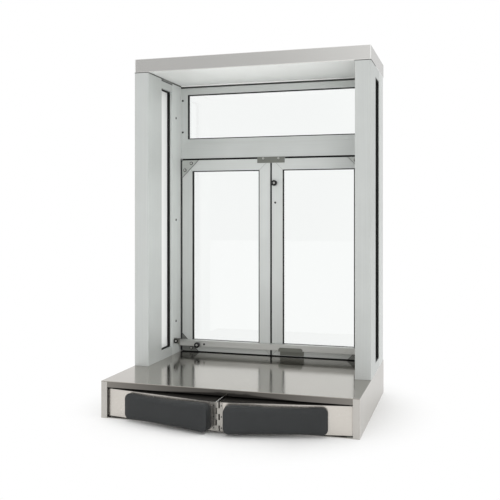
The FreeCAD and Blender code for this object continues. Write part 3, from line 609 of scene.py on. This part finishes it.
light_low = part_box("side_sill_rails")[1][2]
light_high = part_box("side_head_rails")[0][2]
for name, side in (("left", -1), ("right", 1)):
    outer = side * (post_side_x - strip_inset)
    corners = [(outer, post_back_y, light_low), (outer, jamb_front_y, light_low),
               (outer, jamb_front_y, light_high), (outer, post_back_y, light_high)]
    # Painted shade: black strips fill each side pocket, where the recess lies in deep shade.
    carried_along(name + "_pocket_shade_strip", corners[::side],
                  [(0.0, 0.0), (strip_thickness, 0.0), (strip_thickness, -strip_width), (0.0, -strip_width)],
                  (side, 0, 0), gasket_rubber, closed=True)
    carried_along(name + "_jamb_seal",
                  [(side * jamb_face_x, seal_y, seal_low), (side * jamb_face_x, seal_y, seal_high)],
                  [(0.0, seal_half_wide), (seal_thickness, 0.8 * seal_half_wide),
                   (seal_thickness, -0.8 * seal_half_wide), (0.0, -seal_half_wide)], (0, -side, 0),
                  gasket_rubber)


# Leaves: the pair of glazed frames that swing out, mitred from the same anodised aluminium as the
# posts. A triangular plate stiffens each outer corner, held by two pan-head screws.
for name in ("left_leaf_frame", "right_leaf_frame"):
    low, high = np.array(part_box(name))
    middle, half = (low + high) / 2, (high - low) / 2
    leaf_finish = grained_metal("clear_anodised_" + name, "#c8cbc9", "z", 0.45, bare=tube_skin,
                                mitred=(middle.tolist(), half.tolist()))
    dress(leaf_finish, name, edge=0.0005)
low, high = np.array(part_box("corner_gussets"))
gusset_leg = 0.067
# The lower corner plates are painted to under half their colour, as painted shade beneath the lock bar, and
# their long edge carries a painted shadow line.
gusset_plate = grained_metal("clear_anodised_gusset", "#b2b5b1", "x", 0.42, bare=rail_skin,
                             painted_edge_shade=(((low + high) / 2).tolist(), ((high - low) / 2).tolist(), gusset_leg),
                             painted_light_band=(0.5, 0.49, 0.45, 0.0))
dress(gusset_plate, "corner_gussets", edge=0.0005)

gusset_face_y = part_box("corner_gussets")[0][1]
gusset_corner_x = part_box("corner_gussets")[1][0]
gusset_low, gusset_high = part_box("corner_gussets")[0][2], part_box("corner_gussets")[1][2]
screw_near = 0.0115
screw_far = 0.0375
shadow_disc_thickness = 0.0009
pan_recess = 0.0014
pan_head = [(0.0005, 0.0026), (0.0012, 0.00258), (0.0019, 0.0025), (0.0026, 0.0023), (0.0033, 0.0019),
            (0.0039, 0.0012), (0.0042, 0.0005), (0.0043, 0.0)]
bright_screw = grained_metal("bright_screw_steel", "#c6c6c3", "x", 0.28, line_width=0.0008, line_length=0.01)
places = []
for side in (-1, 1):
    for corner_z, up in ((gusset_low, 1), (gusset_high, -1)):
        for across, along in ((screw_near, screw_far), (screw_far, screw_near)):
            places.append((side * (gusset_corner_x - across), gusset_face_y, corner_z + up * along))
# Painted shade: black discs under the gusset screws stand for the shadow round each head.
shadow_disc_profile = [(0.0006, shadow_disc_thickness), (0.0056, shadow_disc_thickness), (0.0062, 0.0006), (0.0063, 0.0)]
turned_heads("gusset_screw_shadow_discs", places, (0, -1, 0), shadow_disc_profile, gasket_rubber)
places = [(x, y - shadow_disc_thickness, z) for x, y, z in places]
turned_heads("gusset_screws", places, (0, -1, 0), pan_head, bright_screw, cross=pan_recess)


# Stop angle: a short steel angle under the transom bar that both leaves close against, with two
# bright screws near its upper edge.
fitting_steel = grained_metal("satin_steel_fitting", "#8b8c87", "x", 0.4)
stop_steel = grained_metal("dull_steel_stop", "#7c7e78", "x", 0.45, bare=0.8)
dress(stop_steel, "leaf_stop", edge=0.0004)
stop_face_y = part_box("leaf_stop")[0][1]
stop_screw_x = 0.029
stop_screw_z = 0.8455
turned_heads("stop_screws", [(side * stop_screw_x, stop_face_y, stop_screw_z) for side in (-1, 1)],
             (0, -1, 0), pan_head, bright_screw, cross=pan_recess)


# Lock bar: a square anodised tube that bars both leaves shut, on two end arms that hang from bolts
# in the jambs, with a steel clip on the right leaf. A black ring with a bright screw in it faces the
# clerk on each arm. The bar's knob turns the lock; a knob on the leaf pulls it shut.
bar_metal = grained_metal("clear_anodised_bar", "#c3c4c1", "x", 0.36, bare=0.6)
dress(bar_metal, "lock_bar", edge=0.0005)
dress(fitting_steel, "lock_bar_arms", edge=0.0004)
dress(stop_steel, "lock_bar_clip", edge=0.0003)
arm_boss_y = 0.18585
arm_boss_z = 0.167
arm_boss_proud = 0.008
bolt_head = [(0.0003, 0.0015), (0.0012, 0.0014), (0.0022, 0.0011), (0.0031, 0.0005), (0.0038, -0.0006),
             (0.0039, -0.0012), (0.0039, -0.0075)]
arm_front_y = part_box("lock_bar_arms")[0][1]
ring_radius = 0.0085
ring_floor = 0.0014
ring_gap = 0.0004
ring = [(0.0008, ring_floor), (0.0048, ring_floor), (0.0053, 0.0026), (0.0062, 0.0032), (0.0074, 0.0030),
        (0.0083, 0.0018), (ring_radius, 0.0)]
for name, side in (("left", -1), ("right", 1)):
    turned_heads(name + "_arm_bolt", [(side * (jamb_face_x - arm_boss_proud), arm_boss_y, arm_boss_z)],
                 (-side, 0, 0), bolt_head, bright_screw)
    ring_x = side * (jamb_face_x - ring_radius - ring_gap)
    turned_heads(name + "_arm_ring", [(ring_x, arm_front_y, arm_boss_z)], (0, -1, 0), ring, black_screw)
    turned_heads(name + "_arm_eye", [(ring_x, arm_front_y - ring_floor, arm_boss_z)], (0, -1, 0), small_head,
                 bright_screw, cross=small_recess)

knob_plastic = matt_rubber("black_moulded_knob", "#141414", 0.32)
dress(knob_plastic, "leaf_knob", "bar_knob")
knob_centre = [(0.0004, 0.0010), (0.0014, 0.0009), (0.0024, 0.0006), (0.0034, 0.0), (0.0042, -0.0009),
               (0.0043, -0.0016), (0.0043, -0.0030)]
for name in ("leaf_knob", "bar_knob"):
    low, high = np.array(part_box(name))
    middle = (low + high) / 2
    turned_heads(name + "_centre", [(middle[0], low[1], middle[2])], (0, -1, 0), knob_centre, bright_screw,
                 cross=0.0004)

bar_face_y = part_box("lock_bar")[0][1]
leaf_face_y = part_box("right_leaf_frame")[0][1]
latch_pin_place = (-0.2535, bar_face_y, 0.1505)
leaf_screw_place = (0.016, leaf_face_y, 0.682)
turned_heads("bar_latch_pin", [latch_pin_place], (0, -1, 0), small_head, knob_plastic)
turned_heads("leaf_screw", [leaf_screw_place], (0, -1, 0), small_head, screw_steel, cross=small_recess)


# Push plates: two folded stainless plates that close the front of the counter box, hinged to each
# other in the middle and brushed along their length. The hinge is bright steel with a welded barrel.
# The left plate's upper flange ends in a small rolled edge beside the seam, coloured near white as a painted
# highlight.
# The plates' upper flanges are painted to an eighth of their colour, less dark towards the ends, as painted
# shade under the counter's lip.
plate_steel = grained_metal("brushed_stainless_plate", "#d0cbc4", "x", 0.26, line_width=0.0009,
                            contrast=0.015, cloud=0.02, pull=0.3, bare=0.85,
                            painted_light_band=(0.0908, 0.0914, 0.12, 0.2))
hinge_steel = grained_metal("bright_hinge_steel", "#aaa7a1", "z", 0.3)
dress(plate_steel, "left_push_plate", "right_push_plate", edge=0.0005)
dress(hinge_steel, "left_hinge_leaf", "right_hinge_leaf")
dress(fitting_steel, "left_pivot_pin", "right_slide_pin", "right_slide_guides", "hinge_pin")

pivot_x, pivot_y = (abs(measure) for measure in frame["joints"][0]["pos_m"][:2])
plate_angle = radians(frame["joints"][0]["range_deg"][1])
hinge_screw_along = 0.3745
hinge_leaf_out = 0.0105
hinge_screw_heights = (0.017, 0.0495, 0.082)


def on_plate(places, side):
    """Place points given along, up and out on a push plate, measured from its outer pivot.

    The plate runs from the pivot towards the middle of the window, turned out by its angle, so
    along is multiplied by the plate's direction and out by the direction square to it. side is 1
    for the right plate and -1 for the left.
    """
    along, up, out = np.array(places, dtype=float).reshape(-1, 3).T
    x = side * (pivot_x - along * cos(plate_angle) + out * sin(plate_angle))
    y = -pivot_y - along * sin(plate_angle) - out * cos(plate_angle)
    return np.stack((x, y, up), axis=1)


tiny_head = [(0.0003, 0.0008), (0.0008, 0.00078), (0.0013, 0.0007), (0.0018, 0.0004), (0.0020, 0.0)]
for name, side in (("left", -1), ("right", 1)):
    turned_heads(name + "_hinge_screws",
                 on_plate([(hinge_screw_along, z, hinge_leaf_out) for z in hinge_screw_heights], side),
                 (side * sin(plate_angle), -cos(plate_angle), 0), tiny_head, screw_steel, name + "_plate",
                 cross=0.0005, around=20)

seam_along = 0.3765
flange_front, flange_back = 0.009, -0.062
edge_inset = 0.0022
edge_up = 0.0921
edge_front, edge_back = 0.0078, -0.060
edge_half_wide, edge_proud = 0.0011, 0.0015
# The rolled edge's near-white colour is a painted highlight where the flange edge catches the light.
painted_highlight_metal = grained_metal("bright_edge_painted_highlight", "#f2f1ee", "y", 0.25, line_width=0.0008, bare=0.6)
seam_front = (seam_along + flange_front * sin(plate_angle)) / cos(plate_angle)
seam_back = (seam_along + flange_back * sin(plate_angle)) / cos(plate_angle)
run = on_plate([(seam_front - edge_inset, edge_up, edge_front), (seam_back - edge_inset, edge_up, edge_back)],
               -1)
carried_along("left_plate_painted_highlight_edge", run[::-1],
              [(-edge_half_wide, 0.0), (edge_half_wide, 0.0), (0.0009, 0.0010), (0.0, edge_proud),
               (-0.0009, 0.0010)], (0, 0, 1), painted_highlight_metal, body="left_plate")


# Bump pads: a firm foam wedge under charcoal upholstery vinyl, one on each push plate, thickest beside
# the hinge. The vinyl is drawn tight over the front, wrapped back round the sides and pleated where
# it turns the corners.
pad_length = 0.303
pad_height = 0.081
pad_thin = 0.016
pad_thick = 0.036
pad_near = 0.0646
pad_low = 0.0066
pad_rest = 0.0093
pad_corner = 0.018
pad_edge = 0.0040
pad_shrink = 0.0012
pad_voxel = 0.003
pad_swell = 0.0032
pad_waist = 0.0006
pad_crown = 0.0035
pleat_depth = 0.0007
pleats_per_corner = 5


def rounded_outline(half_long, half_high, corner, steps):
    """A rounded rectangle: the points of one circle, each moved out to its own corner's centre."""
    turn = (np.arange(4 * steps) + 0.5) / (4 * steps) * 2 * pi
    across = np.sign(np.cos(turn)) * (half_long - corner) + corner * np.cos(turn)
    up = np.sign(np.sin(turn)) * (half_high - corner) + corner * np.sin(turn)
    return np.stack((across, up), axis=1)


def evaluated(piece):
    """Replace a piece's mesh by what its modifiers make of it, and take them off."""
    bpy.context.view_layer.update()
    shown = piece.evaluated_get(bpy.context.evaluated_depsgraph_get())
    piece.data = bpy.data.meshes.new_from_object(shown)
    piece.modifiers.clear()


def mesh_points(mesh):
    """A mesh's points as an array of rows."""
    flat = np.empty(len(mesh.vertices) * 3)
    mesh.vertices.foreach_get("co", flat)
    return flat.reshape(-1, 3)


def pad_depth(across):
    """The wedge's thickness: a straight line from the thin outer end to the thick end by the hinge."""
    return pad_thin + (pad_thick - pad_thin) * np.clip(across / pad_length + 0.5, 0, 1)


def padded_block():
    """The foam block in its own place: across and up from its middle, and out from its plate.

    Rings of a rounded rectangle run from the plate out to the front. Over the front edge they draw in
    by a quarter circle. The block is remeshed and blown up as cloth, with each point kept within the
    swell of where it started, and is brought to its full length and height. Then the front is crowned
    by a parabola each way, the sides pull in between the corners, the corners are pleated by a sine of
    the angle round each one, and what rests on the plate is pressed flat.
    """
    bend = np.linspace(0, pi / 2, 6)
    steps = 8
    around = 4 * steps
    rings = []
    for inset, share, back in [(0.0, 0.0, -0.5 * pad_shrink), (0.0, 0.35, 0.0),
                               *zip(pad_edge * (1 - np.cos(bend)), np.ones(6), pad_edge * (1 - np.sin(bend)))]:
        inset = inset + pad_shrink
        outline = rounded_outline(pad_length / 2 - inset, pad_height / 2 - inset,
                                  pad_corner - 0.7 * inset, steps)
        rings.append(np.column_stack((outline, share * (pad_depth(outline[:, 0]) - pad_shrink) - back)))
    faces = [face[::-1] for face in ring_faces(len(rings), around).tolist()]
    faces += [list(range(around))[::-1], list(range((len(rings) - 1) * around, len(rings) * around))]
    mesh = bpy.data.meshes.new("foam_block")
    mesh.from_pydata(np.concatenate(rings).tolist(), [], faces)
    block = bpy.data.objects.new("foam_block", mesh)
    scene.collection.objects.link(block)
    remesh = block.modifiers.new("even_mesh", "REMESH")
    remesh.mode = "VOXEL"
    remesh.voxel_size = pad_voxel
    evaluated(block)
    start = mesh_points(block.data)
    cloth = block.modifiers.new("stretched_vinyl", "CLOTH")
    cloth.settings.quality = 6
    cloth.settings.mass = 0.35
    cloth.settings.tension_stiffness = 40
    cloth.settings.compression_stiffness = 40
    cloth.settings.bending_stiffness = 4
    cloth.settings.use_pressure = True
    cloth.settings.uniform_pressure_force = 4
    cloth.settings.effector_weights.gravity = 0
    cloth.collision_settings.use_collision = False
    for step in range(1, 21):
        scene.frame_set(step)
    evaluated(block)
    scene.frame_set(1)
    moved = mesh_points(block.data) - start
    length = np.linalg.norm(moved, axis=1)
    moved *= (np.minimum(length, pad_swell) / np.maximum(length, 1e-9))[:, None]
    block.data.vertices.foreach_set("co", (start + moved).ravel())
    soften = block.modifiers.new("one_subdivision", "SUBSURF")
    soften.levels = 1
    soften.render_levels = 1
    evaluated(block)
    mesh = block.data
    bpy.data.objects.remove(block)

    across, up, out = mesh_points(mesh).T
    half_long, half_high = pad_length / 2, pad_height / 2
    across = across * half_long / np.abs(across).max()
    up = up * half_high / np.abs(up).max()
    depth = np.clip(out / pad_depth(across), 0, 1)
    out = out + pad_crown * depth ** 2 * (1 - (across / half_long) ** 2) * (1 - (up / half_high) ** 2)
    side_long = np.clip((np.abs(up) - half_high + 0.012) / 0.012, 0, 1)
    side_short = np.clip((np.abs(across) - half_long + 0.012) / 0.012, 0, 1)
    up = up - np.sign(up) * pad_waist * side_long * np.abs(1 - (across / half_long) ** 2)
    across = across - np.sign(across) * pad_waist * side_short * np.abs(1 - (up / half_high) ** 2)
    corner_across = np.abs(across) - (half_long - pad_corner)
    corner_up = np.abs(up) - (half_high - pad_corner)
    reach = np.hypot(np.maximum(corner_across, 0), np.maximum(corner_up, 0))
    angle = np.arctan2(corner_up, corner_across)
    in_corner = (corner_across > 0) & (corner_up > 0) & (reach > 0.4 * pad_corner)
    fold = np.where(in_corner, np.sin(2 * angle) ** 2 * np.clip(reach / pad_corner - 0.4, 0, 0.6) / 0.6, 0.0)
    fold = fold * pleat_depth * (0.5 + 0.5 * np.cos(angle * 4 * pleats_per_corner)) * (0.35 + 0.65 * depth)
    across = across - np.sign(across) * fold * np.cos(angle)
    up = up - np.sign(up) * fold * np.sin(angle)
    out = np.maximum(out, 0.0)
    mesh.vertices.foreach_set("co", np.stack((across, up, out), axis=1).ravel())
    mesh.update()
    return mesh


def upholstery_vinyl(name, colour):
    """Vinyl with a pebbled leather grain about a millimetre across, and a soft satin shine.

    The pebbles are the cells of a Voronoi pattern: their seams are lower, a little darker and duller.
    """
    finish, tree = new_finish(name)
    spot = add(tree, "ShaderNodeTexCoord")
    wander = add(tree, "ShaderNodeTexNoise", {"Vector": spot.outputs["Object"], "Scale": 300.0, "Detail": 2.0})
    bent = add(tree, "ShaderNodeVectorMath", {0: wander.outputs["Color"], 1: (0.0012, 0.0012, 0.0012),
                                              2: spot.outputs["Object"]}, operation="MULTIPLY_ADD")
    cells = add(tree, "ShaderNodeTexVoronoi", {"Vector": bent.outputs[0], "Scale": 850.0},
                feature="DISTANCE_TO_EDGE")
    pebble = add(tree, "ShaderNodeMapRange", {"Value": cells.outputs["Distance"], "From Min": 0.0,
                                              "From Max": 0.25}, interpolation_type="SMOOTHSTEP")
    rubbed = add(tree, "ShaderNodeTexNoise", {"Vector": spot.outputs["Object"], "Scale": 12.0, "Detail": 3.0})
    tone = add(tree, "ShaderNodeMapRange", {"Value": rubbed.outputs[0], "From Min": 0.3, "From Max": 0.7,
                                            "To Min": 0.88, "To Max": 1.12})
    seam = add(tree, "ShaderNodeMapRange", {"Value": pebble.outputs[0], "To Min": 0.72, "To Max": 1.0})
    both = add(tree, "ShaderNodeMath", {0: tone.outputs[0], 1: seam.outputs[0]}, operation="MULTIPLY")
    toned = add(tree, "ShaderNodeVectorMath", {0: linear(colour)[:3], "Scale": both.outputs[0]},
                operation="SCALE")
    shine = add(tree, "ShaderNodeMapRange", {"Value": pebble.outputs[0], "To Min": 0.62, "To Max": 0.46})
    relief = add(tree, "ShaderNodeBump", {"Height": pebble.outputs[0], "Strength": 0.35, "Distance": 0.0002})
    vinyl = add(tree, "ShaderNodeBsdfPrincipled",
                {"Base Color": toned.outputs[0], "Roughness": shine.outputs[0],
                 "Normal": relief.outputs[0], "Specular IOR Level": 0.4})
    add(tree, "ShaderNodeOutputMaterial", {"Surface": vinyl.outputs[0]})
    return finish


vinyl = upholstery_vinyl("charcoal_upholstery_vinyl", "#2c2e2f")
block = padded_block()
corners = np.array([polygon.vertices[:] for polygon in block.polygons])
local = mesh_points(block)
for name, side in (("left", -1), ("right", 1)):
    places = local + (pad_near + pad_length / 2, pad_low + pad_height / 2, pad_rest)
    pad = new_piece(name + "_vinyl_bump_pad", on_plate(places, side), corners[:, ::-side].tolist(), vinyl,
                    name + "_plate")
    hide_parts(name + "_bump_pad")
